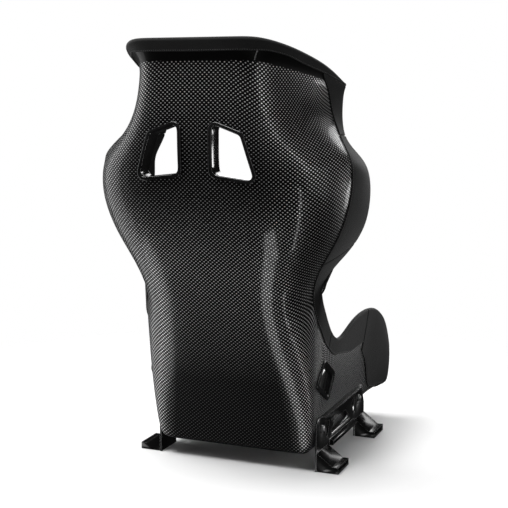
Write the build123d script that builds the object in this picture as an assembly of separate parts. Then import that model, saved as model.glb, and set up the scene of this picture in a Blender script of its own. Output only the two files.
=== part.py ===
from build123d import *
import math
import os

import numpy as np

os.makedirs("parts", exist_ok=True)

# Fixed-back racing bucket seat. Millimetres, +Z up, the occupant faces -Y.
# The origin is the centre of the four floor bolt slots, on the floor plane.

# ---------------------------------------------------------------- driving dimensions
WALL = 5.5             # laminate thickness of the shell
SKIN = 2.2             # fabric edge cover, thickness on each side of the shell
PAD_GAP = 2.8          # room between the shell and the cushions
BOLT_X = 226.0         # floor bolts, half the spacing across
BOLT_Y = 145.0         # floor bolts, half the spacing along
BOLT_R = 4.5           # floor bolt slot, half its width
SLOT_RUN = 12.0        # floor bolt slot, distance between its end centres
PLATE_X = 200.0        # outer face of each side bracket
PLATE_T = 4.0          # side bracket thickness
PLATE_TOP = 121.0
PLATE_LOW = 36.0       # lower edge of a bracket between its feet
FOOT_LEN = 78.0        # foot, along Y
FOOT_OUT = 252.0       # outer edge of the feet
FOOT_TALL = 44.0       # height of a foot cheek at the bracket
FOOT_LOW = 16.0        # height of a foot cheek at its outer edge
SHEET = 3.0            # steel sheet of the feet
SHELL_BOLT_Y = (148.0, -136.0)
SHELL_BOLT_Z = 92.0

# ---------------------------------------------------------------- shell surface
# Every station is one U-shaped rib of the shell: the centre-line point (y, z), the rim
# point (y, z), the half-widths of seven control points outward from the centre, and how
# far each of them lies from the centre line towards the rim.
SIDE = (0, 0, 0, .00, .06, .33, .66, 1)
BACK = (0, 0, 0, .05, .20, .42, .70, 1)
HEAD = (0, 0, 0, .06, .20, .42, .70, 1)
STATIONS = [
    ((-284, 92), (-296, 205), (0, 80, 152, 207, 231, 233, 235, 231), SIDE),
    ((-258, 86), (-272, 268), (0, 80, 148, 194, 219, 226, 233, 231), SIDE),
    ((-212, 75), (-222, 307), (0, 80, 148, 182, 194, 211, 231, 229), SIDE),
    ((-148, 53), (-160, 324), (0, 80, 150, 178, 185, 191, 214, 226), SIDE),
    ((-75, 42), (-90, 326), (0, 80, 148, 181, 188, 194, 212, 223), SIDE),
    ((0, 41), (-24, 318), (0, 80, 148, 181, 188, 194, 210, 221), SIDE),
    ((80, 41), (40, 298), (0, 80, 148, 181, 188, 194, 210, 220), SIDE),
    ((150, 41), (94, 290), (0, 80, 148, 181, 188, 195, 210, 220), SIDE),
    ((184, 41), (138, 312), (0, 80, 148, 181, 188, 194, 209, 220), (0, 0, 0, .0, .07, .34, .67, 1)),
    ((203, 41), (168, 342), (0, 80, 152, 186, 194, 200, 210, 220), (0, 0, 0, .0, .10, .36, .68, 1)),
    ((207, 60), (188, 370), (0, 80, 150, 188, 201, 205, 212, 220), (0, 0, 0, .02, .15, .38, .69, 1)),
    ((222, 140), (205, 396), (0, 80, 136, 180, 203, 207, 213, 219), (0, 0, 0, .03, .19, .41, .71, 1)),
    ((240, 205), (214, 420), (0, 80, 126, 168, 196, 203, 212, 218), (0, 0, 0, .04, .22, .43, .71, 1)),
    ((264, 275), (208, 444), (0, 75, 112, 156, 188, 199, 210, 218), (0, 0, 0, .05, .22, .44, .72, 1)),
    ((287, 345), (180, 468), (0, 70, 104, 150, 182, 198, 211, 222), (0, 0, 0, .05, .22, .44, .72, 1)),
    ((309, 410), (138, 492), (0, 70, 106, 156, 188, 208, 226, 240), BACK),
    ((332, 475), (97, 522), (0, 75, 118, 176, 214, 237, 253, 258), BACK),
    ((357, 540), (68, 565), (0, 80, 138, 202, 250, 273, 284, 274), BACK),
    ((380, 605), (56, 620), (0, 85, 150, 218, 270, 295, 298, 279), BACK),
    ((394, 665), (52, 672), (0, 85, 152, 222, 274, 298, 300, 276), BACK),
    ((400, 716), (72, 710), (0, 85, 142, 204, 246, 280, 326, 266), (0, 0, 0, .05, .16, .30, .46, 1)),
    ((401, 770), (98, 750), (0, 80, 126, 166, 198, 228, 266, 229), (0, 0, 0, .05, .17, .34, .52, 1)),
    ((400, 830), (88, 798), (0, 75, 115, 148, 172, 194, 214, 219), HEAD),
    ((398, 880), (74, 838), (0, 72, 110, 142, 164, 188, 208, 216), HEAD),
    ((396, 916), (66, 862), (0, 72, 110, 140, 162, 188, 208, 216), HEAD),
    ((398, 938), (64, 872), (0, 75, 115, 144, 166, 196, 216, 220), HEAD),
    ((406, 957), (64, 877), (0, 80, 124, 156, 182, 208, 226, 220), HEAD),
    ((413, 971), (66, 880), (0, 84, 130, 162, 190, 214, 228, 218), HEAD),
]


def control_net():
    """Control points of the shell's outer face, left rim to right rim, front to top."""
    net = []
    for spine, rim, widths, depths in STATIONS:
        half = []
        for x, f in zip(widths, depths):
            y = spine[0] + f * (rim[0] - spine[0])
            z = spine[1] + f * (rim[1] - spine[1])
            half.append((x, y, z))
        mirrored = [(-x, y, z) for x, y, z in half[:0:-1]]
        net.append(mirrored + half)
    return np.array(net, float)


def basis(count, t, degree=3):
    """Weights of a clamped uniform cubic B-spline with `count` control points."""
    knots = np.concatenate([np.zeros(degree), np.linspace(0, 1, count - degree + 1), np.ones(degree)])
    t = np.clip(np.asarray(t, float), 0, 1 - 1e-12)
    weights = np.zeros((len(t), len(knots) - 1))
    for i in range(len(knots) - 1):
        weights[:, i] = (t >= knots[i]) & (t < knots[i + 1])
    for d in range(1, degree + 1):
        raised = np.zeros((len(t), len(knots) - 1 - d))
        for i in range(len(knots) - 1 - d):
            left = knots[i + d] - knots[i]
            right = knots[i + d + 1] - knots[i + 1]
            if left > 0:
                raised[:, i] += (t - knots[i]) / left * weights[:, i]
            if right > 0:
                raised[:, i] += (knots[i + d + 1] - t) / right * weights[:, i + 1]
        weights = raised
    return weights


NET = control_net()


def on_shell(u, v):
    """Points of the outer face for arrays u, v (0..1) of one shape."""
    bu = basis(NET.shape[1], u.ravel())
    bv = basis(NET.shape[0], v.ravel())
    return np.einsum("ni,nj,ijk->nk", bv, bu, NET).reshape(u.shape + (3,))


def inward(u, v):
    """Unit normals of the shell that point into the bucket."""
    step = 1e-4
    u0 = np.clip(u - step, 0, 1)
    u1 = np.clip(u + step, 0, 1)
    v0 = np.clip(v - step, 0, 1)
    v1 = np.clip(v + step, 0, 1)
    along = on_shell(u1, v) - on_shell(u0, v)
    up = on_shell(u, v1) - on_shell(u, v0)
    n = np.cross(along, up)
    return n / np.linalg.norm(n, axis=-1, keepdims=True)


def spline_face(points):
    """Surface through a large grid of points."""
    rows = [[Vector(*p) for p in row] for row in points]
    return Face.make_surface_from_array_of_points(rows, tol=0.03, min_deg=3, max_deg=5)


def bernstein(degree, t):
    """Weights of the Bezier control points at places t."""
    return np.array([[math.comb(degree, i) * x ** i * (1 - x) ** (degree - i)
                      for i in range(degree + 1)] for x in t])


def bezier_face(points, du, dv):
    """One Bezier patch of degree du by dv that follows a grid of points closely."""
    fit_v = np.linalg.pinv(bernstein(dv, np.linspace(0, 1, points.shape[0])))
    fit_u = np.linalg.pinv(bernstein(du, np.linspace(0, 1, points.shape[1])))
    poles = np.einsum("av,bu,vuk->abk", fit_v, fit_u, points)
    return Face.make_bezier_surface([[Vector(*p) for p in row] for row in poles])


def slab(region, low, high, du=7, dv=11):
    """Solid between two offsets of the shell surface over region(s, t) -> (u, v).

    low and high are depths into the bucket in millimetres, as numbers or as
    functions of (s, t); s and t run 0..1 across and along the region. du and dv are
    the degrees of the two faces, or None for the whole shell."""
    nu, nv = (61, 91) if du is None else (3 * du + 1, 3 * dv + 1)
    s, t = np.meshgrid(np.linspace(0, 1, nu), np.linspace(0, 1, nv))
    u, v = region(s, t)
    base = on_shell(u, v)
    normal = inward(u, v)
    faces = []
    for depth in (low, high):
        d = depth(s, t) if callable(depth) else np.full(s.shape, float(depth))
        points = base + normal * d[..., None]
        faces.append(spline_face(points) if du is None else bezier_face(points, du, dv))
    near, far = faces
    walls = []
    for edge in near.edges():
        mate = min(far.edges(), key=lambda e: (e.center() - edge.center()).length)
        walls.append(Face.make_surface_from_curves(edge, mate))
    body = Solid(Shell(faces + walls))
    if body.volume < 0:
        body = Solid(body.wrapped.Reversed())
    return body


def curve(pairs, blur=0.018):
    """Smoothed line through (place, value) pairs."""
    places = [p[0] for p in pairs]
    values = [p[1] for p in pairs]
    return lambda x: sum(np.interp(x + d, places, values) for d in np.linspace(-blur, blur, 9)) / 9


def patch(u0, u1, v0, v1):
    """Region with plain limits."""
    return lambda s, t: (u0 + (u1 - u0) * s, v0 + (v1 - v0) * t)


def mirror_x(shape):
    return mirror(shape, about=Plane.YZ)


def one_solid(shape):
    """The single largest solid of a shape."""
    return max(shape.solids(), key=lambda s: s.volume)


NODES = {}


def keep(name, shape):
    solids = shape.solids()
    shape = solids[0] if len(solids) == 1 else Compound(children=list(solids))
    shape.label = name
    NODES[name] = shape


def keep_pair(name, shape):
    """A piece on the +X side and its mirror on the -X side."""
    keep(name + "_l", shape)
    keep(name + "_r", mirror_x(shape))


def keep_both(name, shape):
    """A piece and its mirror together as one node."""
    keep(name, Compound(children=[shape, mirror_x(shape)]))


# ---------------------------------------------------------------- openings
def rounded(points, radius, plane):
    """Closed face through points with rounded corners, on a plane."""
    outline = make_face(Polyline(*points, close=True))
    return plane * fillet(outline.vertices(), radius)


def ring_faces(points, radius, inset, plane):
    """Outline, opening and sleeve outline of a bezel."""
    outline = make_face(Polyline(*points, close=True))
    outer = fillet(outline.vertices(), radius)
    hole = offset(outline, amount=-inset)
    hole = fillet(hole.vertices(), max(2.0, radius - inset * 0.45))
    sleeve = offset(outline, amount=-inset + 2.5)
    sleeve = fillet(sleeve.vertices(), max(3.0, radius - inset * 0.45 + 2.5))
    return plane * outer, plane * hole, plane * sleeve


# shoulder harness slots, outline in (x, z) on the back
SHOULDER = [(31.5, 808.0), (110.0, 780.0), (144.5, 671.0), (31.0, 684.5)]
XZ_BACK = Plane(origin=(0, 430, 0), x_dir=(1, 0, 0), z_dir=(0, -1, 0))
sh_outer, sh_hole, sh_sleeve = ring_faces(SHOULDER, 17, 8.5, XZ_BACK)
THROUGH = 130.0
sh_outer_cut = extrude(sh_outer, amount=THROUGH)
sh_hole_cut = extrude(sh_hole, amount=THROUGH)
sh_sleeve_cut = extrude(sh_sleeve, amount=THROUGH)

# lap belt slots, outline in (y, z) on the side
LAP = [(174.0, 263.0), (94.0, 214.0), (113.0, 147.0), (214.0, 206.0)]
YZ_SIDE = Plane(origin=(150, 0, 0), x_dir=(0, 1, 0), z_dir=(1, 0, 0))
lap_outer, lap_hole, lap_sleeve = ring_faces(LAP, 12, 10, YZ_SIDE)
lap_outer_cut = extrude(lap_outer, amount=90)
lap_hole_cut = extrude(lap_hole, amount=90)
lap_sleeve_cut = extrude(lap_sleeve, amount=90)

# crotch strap slot in the base
CROTCH = [(-62.0, -42.0), (62.0, -42.0), (62.0, 12.0), (-62.0, 12.0)]
cr_outer, cr_hole, cr_sleeve = ring_faces(CROTCH, 16, 9, Plane.XY)
cr_outer_cut = extrude(cr_outer, amount=130)
cr_hole_cut = extrude(cr_hole, amount=130)
cr_sleeve_cut = extrude(cr_sleeve, amount=130)


def both(cut):
    return [cut, mirror_x(cut)]


# ---------------------------------------------------------------- carbon shell
SIDE_X = 165           # the side nodes start this far from the centre plane
PAN_Z = 120            # heights where the middle nodes meet: pan to back,
BACK_Z = 640           # back to shoulders,
HEAD_Z = 830           # shoulders to head
EDGE = 0.0035          # the shell stops this far inside the cover edge
shell = slab(patch(EDGE, 1 - EDGE, 0.003, 0.996), 0.0, WALL, None, None)
for cut in both(sh_sleeve_cut) + both(lap_sleeve_cut) + [cr_sleeve_cut]:
    shell = shell - cut
for y in SHELL_BOLT_Y:
    for sign in (1, -1):
        drill = Pos(sign * 190, y, SHELL_BOLT_Z) * Rot(0, 90, 0) * Cylinder(4.3, 40)
        shell = shell - drill
shell = one_solid(shell)


def between(x0, x1, z0, z1):
    """Block over the whole depth of the seat, to take one part of the shell."""
    return Pos((x0 + x1) / 2, 0, (z0 + z1) / 2) * Box(x1 - x0, 1000, z1 - z0)


# one moulding, kept as six simpler nodes that meet face to face
BOTTOM, TOP = -50, 1100
keep("shell_pan", one_solid(shell & between(-SIDE_X, SIDE_X, BOTTOM, PAN_Z)))
keep("shell_back", one_solid(shell & between(-SIDE_X, SIDE_X, PAN_Z, BACK_Z)))
keep("shell_shoulders", one_solid(shell & between(-SIDE_X, SIDE_X, BACK_Z, HEAD_Z)))
keep("shell_head", one_solid(shell & between(-SIDE_X, SIDE_X, HEAD_Z, TOP)))
keep_pair("shell_side", one_solid(shell & between(SIDE_X, 400, BOTTOM, TOP)))

# ---------------------------------------------------------------- fabric edge covers
# distance from the rim to the cover's inner line, in the surface's own measure
LEG_IN = curve([(0, .175), (.03, .165), (.044, .145), (.052, .115), (.062, .085), (.073, .062), (.10, .038)], .008)
COVER_IN = curve([(0, .030), (.15, .030), (.22, .013), (.30, .013), (.38, .020), (.465, .040),
                  (.535, .080), (.585, .108), (.63, .108), (.675, .100), (.705, .090), (.75, .060),
                  (.78, .035), (.81, .014), (.85, .020), (.915, .030), (.955, .046), (1, .058)])


def at_depth(region, s, t, depth):
    """Point of the shell at one place of a region, at a depth into the bucket."""
    u, v = region(np.array([[float(s)]]), np.array([[float(t)]]))
    return Vector(*(on_shell(u, v) + inward(u, v) * depth)[0, 0])


def channel(band, du, dv):
    """Fabric channel that wraps the shell's rim. band(s, t, stop) -> (u, v), where s runs
    from the cover's inner line to the rim, and stop is how far short of the rim it ends."""
    def full(s, t):
        return band(s, t, 0.0)

    def under(s, t):
        return band(s, t, EDGE)

    layers = [(full, -SKIN), (under, -0.05), (under, WALL + 0.05), (full, WALL + SKIN)]
    faces = []
    for region, depth in layers:
        s, t = np.meshgrid(np.linspace(0, 1, 3 * du + 1), np.linspace(0, 1, 3 * dv + 1))
        u, v = region(s, t)
        faces.append(bezier_face(on_shell(u, v) + inward(u, v) * depth, du, dv))

    def edges_at(s, t):
        found = []
        for face, (region, depth) in zip(faces, layers):
            spot = Vertex(*at_depth(region, s, t, depth))
            found.append(min(face.edges(), key=lambda e: e.distance_to(spot)))
        return found

    rim = edges_at(1, 0.5)
    lip = edges_at(0, 0.5)
    walls = [Face.make_surface_from_curves(rim[0], rim[3]), Face.make_surface_from_curves(rim[1], rim[2]),
             Face.make_surface_from_curves(lip[0], lip[1]), Face.make_surface_from_curves(lip[2], lip[3])]
    for t in (0, 1):
        end = edges_at(0.5, t)

        def corner(k, s):
            region, depth = layers[k]
            place = at_depth(region, s, t, depth)
            best = min(end[k].vertices(), key=lambda p: (Vector(p.X, p.Y, p.Z) - place).length)
            return Vector(best.X, best.Y, best.Z)

        links = [Edge.make_line(corner(0, 1), corner(3, 1)), Edge.make_line(corner(3, 0), corner(2, 0)),
                 Edge.make_line(corner(2, 1), corner(1, 1)), Edge.make_line(corner(1, 0), corner(0, 0))]
        walls.append(Face.make_surface(Wire([end[0], links[0], end[3], links[1],
                                             end[2], links[2], end[1], links[3]])))
    body = Solid(Shell(faces + walls))
    if body.volume < 0:
        body = Solid(body.wrapped.Reversed())
    return body


def side_band(v0, v1, inner_line=COVER_IN):
    """Band along the +X rim between two stations."""
    def band(s, t, stop):
        v = v0 + (v1 - v0) * t
        start = 1 - inner_line(v)
        return start + (1 - stop - start) * s, v
    return band


keep_pair("leg_wing_cover", channel(side_band(0.0, 0.0995, LEG_IN), 5, 9))
keep_pair("leg_edge_cover", channel(side_band(0.1005, 0.2995), 5, 11))
keep_pair("waist_cover", channel(side_band(0.3005, 0.5995), 5, 15))
keep_pair("shoulder_wing_cover", channel(side_band(0.6005, 0.8095), 5, 13))
keep_pair("head_wing_cover", channel(side_band(0.8105, 0.9695), 5, 11))
TOP_IN = curve([(0, .9705), (.09, .9705), (.16, .980), (.24, .978), (.32, .971), (.5, .969),
                (.68, .971), (.76, .978), (.84, .980), (.91, .9705), (1, .9705)])


def top_band(s, t, stop):
    low = TOP_IN(t)
    return t, low + (1 - stop - low) * s


keep("head_rim_cover", channel(top_band, 5, 19))


def front_band(s, t, stop):
    low = 0.011
    return .158 + .684 * t, low + (stop - low) * s


keep("front_lip_cover", channel(front_band, 5, 15))

# ---------------------------------------------------------------- cushions
SEAT_FACE = WALL + PAD_GAP


def dome(thick, edge, soft=0.16):
    """Cushion depth: thin at its edges, full in the middle."""
    def depth(s, t):
        a = np.clip(np.minimum(s, 1 - s) / soft, 0, 1)
        b = np.clip(np.minimum(t, 1 - t) / soft, 0, 1)
        rise = np.sqrt(1 - (1 - a) ** 2) * np.sqrt(1 - (1 - b) ** 2)
        return SEAT_FACE + edge + (thick - edge) * rise
    return depth


def cushion(u0, u1, v0, v1, thick, edge=6.0, soft=0.2):
    return slab(patch(u0, u1, v0, v1), SEAT_FACE, dome(thick, edge, soft), 11, 11)


upper_back = cushion(.262, .738, .602, .852, 24, soft=0.14)
for cut in both(sh_sleeve_cut):
    upper_back = upper_back - cut
keep("upper_back_cushion", one_solid(upper_back))
keep("lumbar_cushion", cushion(.275, .725, .400, .594, 32))
keep("head_cushion", cushion(.27, .73, .862, .966, 28))
seat = cushion(.285, .715, .035, .285, 42, edge=14.0)
keep("seat_cushion", one_solid(seat - cr_sleeve_cut))
keep_pair("head_wing_pad", cushion(.745, .975, .822, .962, 30))
keep_pair("shoulder_pad", cushion(.752, .915, .612, .735, 20))
lap_side = cushion(.80, .975, .245, .392, 20)
keep_pair("rib_pad", cushion(.745, .968, .405, .602, 26))
keep_pair("hip_pad", one_solid(lap_side - lap_outer_cut))
keep_pair("thigh_pad", cushion(.80, .975, .015, .236, 24))

# ---------------------------------------------------------------- hook and loop strips
TAPE = (WALL + 0.3, WALL + 2.3)


def tape(u0, u1, v0, v1):
    return slab(patch(u0, u1, v0, v1), TAPE[0], TAPE[1], 4, 4)


keep("tape_head", tape(.40, .60, .90, .93))
keep_both("tape_back", tape(.595, .625, .62, .655))
keep_both("tape_lumbar", tape(.56, .60, .44, .56))
keep_both("tape_seat", tape(.60, .66, .07, .24))

# ---------------------------------------------------------------- harness bezels
def bezel_pair(outer_cut, hole_cut, sleeve_cut, region, front):
    """Outer flange with its sleeve, and the inner flange, for a slot on the +X side."""
    flange = slab(region, -4.0, 0.0) & outer_cut
    inner_clear = slab(region, -4.0, front) & sleeve_cut
    outer_part = (flange + inner_clear) - hole_cut
    inner_part = (slab(region, front, front + 3.5) & outer_cut) - hole_cut
    return one_solid(outer_part), one_solid(inner_part)


rear, fore = bezel_pair(sh_outer_cut, sh_hole_cut, sh_sleeve_cut,
                        patch(.50, .80, .69, .86), SEAT_FACE + 24.5)
keep_pair("shoulder_bezel_rear", rear)
keep_pair("shoulder_bezel_front", fore)
rear, fore = bezel_pair(lap_outer_cut, lap_hole_cut, lap_sleeve_cut,
                        patch(.86, .985, .20, .42), WALL)
keep_pair("lap_bezel_outer", rear)
keep_pair("lap_bezel_inner", fore)
rear, fore = bezel_pair(cr_outer_cut, cr_hole_cut, cr_sleeve_cut,
                        patch(.35, .65, .10, .26), SEAT_FACE + 42.5)
keep("crotch_bezel_lower", rear)
keep("crotch_bezel_upper", fore)

# ---------------------------------------------------------------- side brackets
FOOT_Y = (BOLT_Y, -BOLT_Y)
REAR_Y = BOLT_Y + FOOT_LEN / 2
FRONT_Y = -BOLT_Y - FOOT_LEN / 2
YZ = Plane(origin=(0, 0, 0), x_dir=(0, 1, 0), z_dir=(1, 0, 0))
outline = [
    (REAR_Y + 2, 0), (REAR_Y + 2, PLATE_TOP - 10), (REAR_Y - 8, PLATE_TOP), (-160, PLATE_TOP),
    (-170, 100), (FRONT_Y + 4, 78), (FRONT_Y, 70), (FRONT_Y, 0), (FRONT_Y + FOOT_LEN, 0),
    (FRONT_Y + FOOT_LEN, 26), (FRONT_Y + FOOT_LEN + 10, PLATE_LOW),
    (REAR_Y - FOOT_LEN - 10, PLATE_LOW), (REAR_Y - FOOT_LEN, 26), (REAR_Y - FOOT_LEN, 0),
]
WINDOWS = [
    [(122, 101), (123, 66), (108, 64), (92, 100)],
    [(56, 90), (86, 62), (-66, 62), (-28, 90)],
    [(-78, 100), (-96, 64), (-109, 66), (-103, 101)],
]
plate = extrude(YZ * make_face(Polyline(*outline, close=True)), amount=PLATE_T)
plate = Pos(PLATE_X - PLATE_T, 0, 0) * plate
for corners in WINDOWS:
    hole = rounded(corners, 5, YZ)
    plate = plate - (Pos(PLATE_X - 10, 0, 0) * extrude(hole, amount=20))
for y in SHELL_BOLT_Y:
    plate = plate - (Pos(PLATE_X - 2, y, SHELL_BOLT_Z) * Rot(0, 90, 0) * Cylinder(4.3, 30))
top_flange = Pos(PLATE_X + 4, 0, PLATE_TOP - 1.5) * Box(8, 292, 3)
rail = Pos(PLATE_X + 5, 0, PLATE_LOW + 7) * Box(10, 184, 14)
rail = fillet(rail.edges().filter_by(Axis.Y).group_by(Axis.X)[-1], 4)
plate = one_solid(plate + top_flange + rail)
keep_pair("bracket", plate)


def foot(y_mid):
    """Folded steel foot: slotted sole, two cheeks and a sloped cover."""
    run = FOOT_OUT - PLATE_X
    xz = Plane(origin=(0, y_mid + FOOT_LEN / 2, 0), x_dir=(1, 0, 0), z_dir=(0, -1, 0))
    side = Polyline((PLATE_X, 0), (FOOT_OUT, 0), (FOOT_OUT, FOOT_LOW), (FOOT_OUT - 14, FOOT_LOW),
                    (PLATE_X, FOOT_TALL), close=True)
    block = extrude(xz * make_face(side), amount=FOOT_LEN)
    inner = Polyline((PLATE_X - 5, SHEET + 1), (FOOT_OUT + 5, SHEET + 1),
                     (FOOT_OUT + 5, FOOT_LOW - SHEET), (FOOT_OUT - 15, FOOT_LOW - SHEET),
                     (PLATE_X, FOOT_TALL - SHEET - 0.4), (PLATE_X - 5, FOOT_TALL - SHEET), close=True)
    room = Plane(origin=(0, y_mid + FOOT_LEN / 2 - SHEET, 0), x_dir=(1, 0, 0), z_dir=(0, -1, 0))
    block = block - extrude(room * make_face(inner), amount=FOOT_LEN - 2 * SHEET)
    slot = Pos(BOLT_X, y_mid, 0) * extrude(SlotCenterToCenter(SLOT_RUN, 2 * BOLT_R), amount=SHEET + 2)
    return one_solid(block - slot)


keep_pair("foot_rear", foot(BOLT_Y))
keep_pair("foot_front", foot(-BOLT_Y))


# ---------------------------------------------------------------- shell fasteners
def along_x(x, y, shape):
    return Pos(x, y, SHELL_BOLT_Z) * Rot(0, 90, 0) * shape


def hex_cut(x, y):
    prism = extrude(RegularPolygon(2.9, 6), amount=8)
    return along_x(x, y, prism)


def button_bolt(y):
    """Button-head socket screw through the bracket into the shell's nut."""
    head = Cylinder(7.0, 4.4)
    head = fillet(head.edges().sort_by(Axis.Z)[-1], 2.8)
    body = along_x(PLATE_X + 1.6 + 2.2, y, head) + along_x(PLATE_X - 11.2, y, Cylinder(4.0, 25.6))
    return body - hex_cut(PLATE_X + 3.4, y)


def ring(x0, x1, y, outer, inner):
    length = x1 - x0
    return along_x((x0 + x1) / 2, y, Cylinder(outer, length) - Cylinder(inner, length + 2))


def group(make):
    parts = [make(y) for y in SHELL_BOLT_Y]
    return Compound(children=[s for p in parts for s in p.solids()])


keep_pair("shell_bolts", group(button_bolt))
keep_pair("bolt_washers", group(lambda y: ring(PLATE_X, PLATE_X + 1.6, y, 9.0, 4.2)))


def spacer(y):
    tube = ring(170, PLATE_X - PLATE_T, y, 11.0, 4.3)
    zone = slab(patch(.80, .97, .05, .36), -30.0, -0.2, 9, 13)
    return one_solid(tube & zone)


keep_pair("shell_spacers", group(spacer))


def nut_plate(y):
    zone = slab(patch(.80, .97, .05, .36), WALL + 0.1, WALL + 2.6, 9, 13)
    return one_solid(ring(160, 200, y, 15.0, 4.2) & zone)


keep_pair("nut_plates", group(nut_plate))

for name, shape in NODES.items():
    export_step(shape, "parts/" + name + ".step")
    box = shape.bounding_box()
    print(f"{name:24s} solids {len(shape.solids())} valid {shape.is_valid} volume {shape.volume:12.0f}"
          f"  x {box.min.X:.0f}..{box.max.X:.0f} y {box.min.Y:.0f}..{box.max.Y:.0f}"
          f" z {box.min.Z:.1f}..{box.max.Z:.0f}")
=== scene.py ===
import math

import bmesh
import bpy
import numpy as np
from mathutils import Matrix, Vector
from mathutils.kdtree import KDTree


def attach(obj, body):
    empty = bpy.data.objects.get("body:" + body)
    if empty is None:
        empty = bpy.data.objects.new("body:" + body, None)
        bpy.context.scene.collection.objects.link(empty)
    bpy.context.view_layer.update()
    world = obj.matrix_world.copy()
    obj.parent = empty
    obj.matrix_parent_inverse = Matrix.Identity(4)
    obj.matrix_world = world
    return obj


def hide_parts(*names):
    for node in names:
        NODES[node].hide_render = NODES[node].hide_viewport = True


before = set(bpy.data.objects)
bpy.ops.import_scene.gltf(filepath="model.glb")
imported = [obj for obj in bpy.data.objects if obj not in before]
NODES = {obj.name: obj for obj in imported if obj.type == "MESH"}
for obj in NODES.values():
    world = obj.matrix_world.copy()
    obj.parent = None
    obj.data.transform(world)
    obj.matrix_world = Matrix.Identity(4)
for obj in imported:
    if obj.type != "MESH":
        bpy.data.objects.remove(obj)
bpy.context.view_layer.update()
scene = bpy.context.scene
norm = np.linalg.norm


def give(target, **values):
    """Attributes set in one call."""
    for key, value in values.items():
        setattr(target, key, value)
    return target


# ---- shell surface
# The same surface as the CAD shell, in millimetres: every station is one U-shaped rib,
# given as spine (y, z), rim (y, z), widths from the centre line, and shares to the rim.
WALL = 5.5  # thickness of the laminate
SKIN = 2.2  # thickness of the fabric over the rim
PAD_GAP = 2.8  # room between the laminate and a cushion, for the tapes
SEAT_FACE = WALL + PAD_GAP
# how far the last five control points of a rib lie from its spine (0) to its rim (1); the
# first three always lie on the spine line
SIDE = (.00, .06, .33, .66, 1)
FLANK = (.05, .22, .44, .72, 1)
BACK = (.05, .20, .42, .70, 1)
HEAD = (.06, .20, .42, .70, 1)
STATIONS = [
    ((-284, 92), (-296, 205), (80, 152, 207, 231, 233, 235, 231), SIDE),
    ((-258, 86), (-272, 268), (80, 148, 194, 219, 226, 233, 231), SIDE),
    ((-212, 75), (-222, 307), (80, 148, 182, 194, 211, 231, 229), SIDE),
    ((-148, 53), (-160, 324), (80, 150, 178, 185, 191, 214, 226), SIDE),
    ((-75, 42), (-90, 326), (80, 148, 181, 188, 194, 212, 223), SIDE),
    ((0, 41), (-24, 318), (80, 148, 181, 188, 194, 210, 221), SIDE),
    ((80, 41), (40, 298), (80, 148, 181, 188, 194, 210, 220), SIDE),
    ((150, 41), (94, 290), (80, 148, 181, 188, 195, 210, 220), SIDE),
    ((184, 41), (138, 312), (80, 148, 181, 188, 194, 209, 220), (.0, .07, .34, .67, 1)),
    ((203, 41), (168, 342), (80, 152, 186, 194, 200, 210, 220), (.0, .10, .36, .68, 1)),
    ((207, 60), (188, 370), (80, 150, 188, 201, 205, 212, 220), (.02, .15, .38, .69, 1)),
    ((222, 140), (205, 396), (80, 136, 180, 203, 207, 213, 219), (.03, .19, .41, .71, 1)),
    ((240, 205), (214, 420), (80, 126, 168, 196, 203, 212, 218), (.04, .22, .43, .71, 1)),
    ((264, 275), (208, 444), (75, 112, 156, 188, 199, 210, 218), FLANK),
    ((287, 345), (180, 468), (70, 104, 150, 182, 198, 211, 222), FLANK),
    ((309, 410), (138, 492), (70, 106, 156, 188, 208, 226, 240), BACK),
    ((332, 475), (97, 522), (75, 118, 176, 214, 237, 253, 258), BACK),
    ((357, 540), (68, 565), (80, 138, 202, 250, 273, 284, 274), BACK),
    ((380, 605), (56, 620), (85, 150, 218, 270, 295, 298, 279), BACK),
    ((394, 665), (52, 672), (85, 152, 222, 274, 298, 300, 276), BACK),
    ((400, 716), (72, 710), (85, 142, 204, 246, 280, 326, 266), (.05, .16, .30, .46, 1)),
    ((401, 770), (98, 750), (80, 126, 166, 198, 228, 266, 229), (.05, .17, .34, .52, 1)),
    ((400, 830), (88, 798), (75, 115, 148, 172, 194, 214, 219), HEAD),
    ((398, 880), (74, 838), (72, 110, 142, 164, 188, 208, 216), HEAD),
    ((396, 916), (66, 862), (72, 110, 140, 162, 188, 208, 216), HEAD),
    ((398, 938), (64, 872), (75, 115, 144, 166, 196, 216, 220), HEAD),
    ((406, 957), (64, 877), (80, 124, 156, 182, 208, 226, 220), HEAD),
    ((413, 971), (66, 880), (84, 130, 162, 190, 214, 228, 218), HEAD),
]


def control_net():
    """Control points of the shell's outer face, left rim to right rim, front to top."""
    net = []
    for spine, rim, widths, shares in STATIONS:
        half = [(x, spine[0] + f * (rim[0] - spine[0]), spine[1] + f * (rim[1] - spine[1]))
                for x, f in zip((0,) + widths, (0, 0, 0) + shares)]
        net.append([(-x, y, z) for x, y, z in half[:0:-1]] + half)
    return np.array(net, float)


def basis(count, t, degree=3):
    """Weights of a clamped uniform cubic B-spline with `count` control points."""
    knots = np.concatenate([np.zeros(degree), np.linspace(0, 1, count - degree + 1),
                            np.ones(degree)])
    t = np.clip(np.asarray(t, float), 0, 1 - 1e-12)
    weights = np.zeros((len(t), len(knots) - 1))
    for i in range(len(knots) - 1):
        weights[:, i] = (t >= knots[i]) & (t < knots[i + 1])
    for d in range(1, degree + 1):
        raised = np.zeros((len(t), len(knots) - 1 - d))
        for i in range(len(knots) - 1 - d):
            left = knots[i + d] - knots[i]
            right = knots[i + d + 1] - knots[i + 1]
            if left > 0:
                raised[:, i] += (t - knots[i]) / left * weights[:, i]
            if right > 0:
                raised[:, i] += (knots[i + d + 1] - t) / right * weights[:, i + 1]
        weights = raised
    return weights


NET = control_net()


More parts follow.
